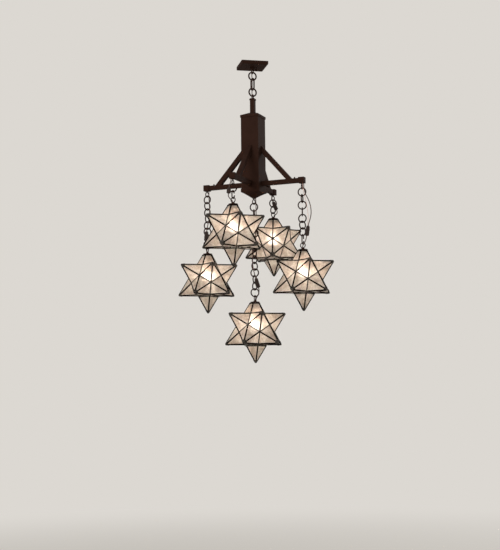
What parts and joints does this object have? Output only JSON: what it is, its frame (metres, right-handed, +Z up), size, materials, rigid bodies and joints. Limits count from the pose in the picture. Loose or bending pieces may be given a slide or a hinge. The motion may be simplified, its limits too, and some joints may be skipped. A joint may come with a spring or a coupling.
{
  "type": "star chandelier",
  "caption": "Stained glass moravian stars hung on ring chains from a square column with braced arms, on rings under a square ceiling plate.",
  "frame": {"origin": "centre of the ceiling plate's top, on the ceiling, between the box screws", "axes": "+Z up; +X along the right arm, +Y along the far arm"},
  "size_m": [0.6912, 0.696, 1.2961],
  "materials": {
    "bronze": "satin, dark bronze",
    "zinc_steel": "zinc plated",
    "came": "dark patina on solder",
    "art_glass": "wispy, semi-opaque",
    "bulb_glass": "frosted, lit",
    "cord": "brown"
  },
  "bodies": {
    "canopy": {"ceiling_plate": "bronze", "mounting_strap": "zinc_steel", "canopy_loop": "bronze"},
    "upper_ring": {"top_ring_upper": "bronze"},
    "middle_link": {"top_link_middle": "bronze", "supply_cord": "cord"},
    "lower_ring": {"top_ring_lower": "bronze"},
    "body": {"stem": "bronze", "column": "bronze", "bottom_cover": "bronze", "arms": "bronze", "end_cubes": "bronze", "struts": "bronze", "set_screws": "bronze", "chain_eyes": "bronze"},
    "right_ring": {"right_first_ring": "bronze"},
    "right_chain": {"right_chain": "bronze", "right_cord": "cord"},
    "right_star": {"right_star_came": "came", "right_star_glass": "art_glass", "right_star_cap": "bronze", "right_bulb": "bulb_glass"},
    "right_door": {"right_door_came": "came", "right_door_glass": "art_glass"},
    "far_ring": {"far_first_ring": "bronze"},
    "far_chain": {"far_chain": "bronze", "far_cord": "cord"},
    "far_star": {"far_star_came": "came", "far_star_glass": "art_glass", "far_star_cap": "bronze", "far_bulb": "bulb_glass"},
    "far_door": {"far_door_came": "came", "far_door_glass": "art_glass"},
    "left_ring": {"left_first_ring": "bronze"},
    "left_chain": {"left_chain": "bronze", "left_cord": "cord"},
    "left_star": {"left_star_came": "came", "left_star_glass": "art_glass", "left_star_cap": "bronze", "left_bulb": "bulb_glass"},
    "left_door": {"left_door_came": "came", "left_door_glass": "art_glass"},
    "near_ring": {"near_first_ring": "bronze"},
    "near_chain": {"near_chain": "bronze", "near_cord": "cord"},
    "near_star": {"near_star_came": "came", "near_star_glass": "art_glass", "near_star_cap": "bronze", "near_bulb": "bulb_glass"},
    "near_door": {"near_door_came": "came", "near_door_glass": "art_glass"},
    "centre_ring": {"centre_first_ring": "bronze"},
    "centre_chain": {"centre_chain": "bronze", "centre_cord": "cord"},
    "centre_star": {"centre_star_came": "came", "centre_star_glass": "art_glass", "centre_star_cap": "bronze", "centre_bulb": "bulb_glass"},
    "centre_door": {"centre_door_came": "came", "centre_door_glass": "art_glass"}
  },
  "joints": [
    {"name": "upper_ring_swing", "type": "hinge", "parent": "canopy", "child": "upper_ring", "pos_m": [0, 0, -0.0432], "axis": [0.7524, -0.6587, 0], "range_deg": [-5, 5]},
    {"name": "middle_link_swing", "type": "hinge", "parent": "upper_ring", "child": "middle_link", "pos_m": [0, 0, -0.07145], "axis": [0.7096, 0.7046, 0], "range_deg": [-5, 5], "deforming": ["supply_cord"]},
    {"name": "lower_ring_swing", "type": "hinge", "parent": "middle_link", "child": "lower_ring", "pos_m": [0, 0, -0.11525], "axis": [0.8729, -0.4879, 0], "range_deg": [-5, 5]},
    {"name": "body_turn", "type": "hinge", "parent": "lower_ring", "child": "body", "pos_m": [0, 0, -0.14285], "axis": [0, 0, 1], "range_deg": [-25, 25]},
    {"name": "right_ring_swing", "type": "hinge", "parent": "body", "child": "right_ring", "pos_m": [0.2207, 0, -0.5686], "axis": [-0.1184, 0.993, 0], "range_deg": [-5, 5]},
    {"name": "right_chain_swing", "type": "hinge", "parent": "right_ring", "child": "right_chain", "pos_m": [0.2207, 0, -0.5975], "axis": [0.9988, 0.0488, 0], "range_deg": [-5, 5], "deforming": ["right_cord"]},
    {"name": "right_star_turn", "type": "hinge", "parent": "right_chain", "child": "right_star", "pos_m": [0.2207, 0, -0.8079], "axis": [0, 0, 1], "range_deg": [-25, 25]},
    {"name": "right_door_hinge", "type": "hinge", "parent": "right_star", "child": "right_door", "pos_m": [0.24285, 0.02855, -1.01193], "axis": [0.7902, -0.6129, 0], "range_deg": [0, 105]},
    {"name": "far_ring_swing", "type": "hinge", "parent": "body", "child": "far_ring", "pos_m": [0, 0.2207, -0.5686], "axis": [0.8729, -0.4879, 0], "range_deg": [-5, 5]},
    {"name": "far_chain_swing", "type": "hinge", "parent": "far_ring", "child": "far_chain", "pos_m": [0, 0.2207, -0.5975], "axis": [0.6455, 0.7638, 0], "range_deg": [-5, 5], "deforming": ["far_cord"]},
    {"name": "far_star_turn", "type": "hinge", "parent": "far_chain", "child": "far_star", "pos_m": [0, 0.2207, -0.6314], "axis": [0, 0, 1], "range_deg": [-25, 25]},
    {"name": "far_door_hinge", "type": "hinge", "parent": "far_star", "child": "far_door", "pos_m": [0.03613, 0.22146, -0.83543], "axis": [0.0209, -0.9998, 0], "range_deg": [0, 105]},
    {"name": "left_ring_swing", "type": "hinge", "parent": "body", "child": "left_ring", "pos_m": [-0.2207, 0, -0.5686], "axis": [0.3289, 0.9444, 0], "range_deg": [-5, 5]},
    {"name": "left_chain_swing", "type": "hinge", "parent": "left_ring", "child": "left_chain", "pos_m": [-0.2207, 0, -0.5975], "axis": [0.9736, -0.2284, 0], "range_deg": [-5, 5], "deforming": ["left_cord"]},
    {"name": "left_star_turn", "type": "hinge", "parent": "left_chain", "child": "left_star", "pos_m": [-0.2207, 0, -0.8012], "axis": [0, 0, 1], "range_deg": [-25, 25]},
    {"name": "left_door_hinge", "type": "hinge", "parent": "left_star", "child": "left_door", "pos_m": [-0.25533, -0.01032, -1.00523], "axis": [-0.2857, 0.9583, 0], "range_deg": [0, 105]},
    {"name": "near_ring_swing", "type": "hinge", "parent": "body", "child": "near_ring", "pos_m": [0, -0.2207, -0.5686], "axis": [-0.014, 0.9999, 0], "range_deg": [-5, 5]},
    {"name": "near_chain_swing", "type": "hinge", "parent": "near_ring", "child": "near_chain", "pos_m": [0, -0.2207, -0.5975], "axis": [0.9993, -0.0384, 0], "range_deg": [-5, 5], "deforming": ["near_cord"]},
    {"name": "near_star_turn", "type": "hinge", "parent": "near_chain", "child": "near_star", "pos_m": [0, -0.2207, -0.6311], "axis": [0, 0, 1], "range_deg": [-25, 25]},
    {"name": "near_door_hinge", "type": "hinge", "parent": "near_star", "child": "near_door", "pos_m": [0.02047, -0.19092, -0.83513], "axis": [0.8241, -0.5664, 0], "range_deg": [0, 105]},
    {"name": "centre_ring_swing", "type": "hinge", "parent": "body", "child": "centre_ring", "pos_m": [0, 0, -0.6174], "axis": [0.2622, 0.965, 0], "range_deg": [-4, 4]},
    {"name": "centre_chain_swing", "type": "hinge", "parent": "centre_ring", "child": "centre_chain", "pos_m": [0, 0, -0.6463], "axis": [0.9988, 0.0488, 0], "range_deg": [-4, 4], "deforming": ["centre_cord"]},
    {"name": "centre_star_turn", "type": "hinge", "parent": "centre_chain", "child": "centre_star", "pos_m": [0, 0, -1.0198], "axis": [0, 0, 1], "range_deg": [-25, 25]},
    {"name": "centre_door_hinge", "type": "hinge", "parent": "centre_star", "child": "centre_door", "pos_m": [0.02119, 0.02927, -1.22383], "axis": [0.81, -0.5864, 0], "range_deg": [0, 105]}
  ]
}
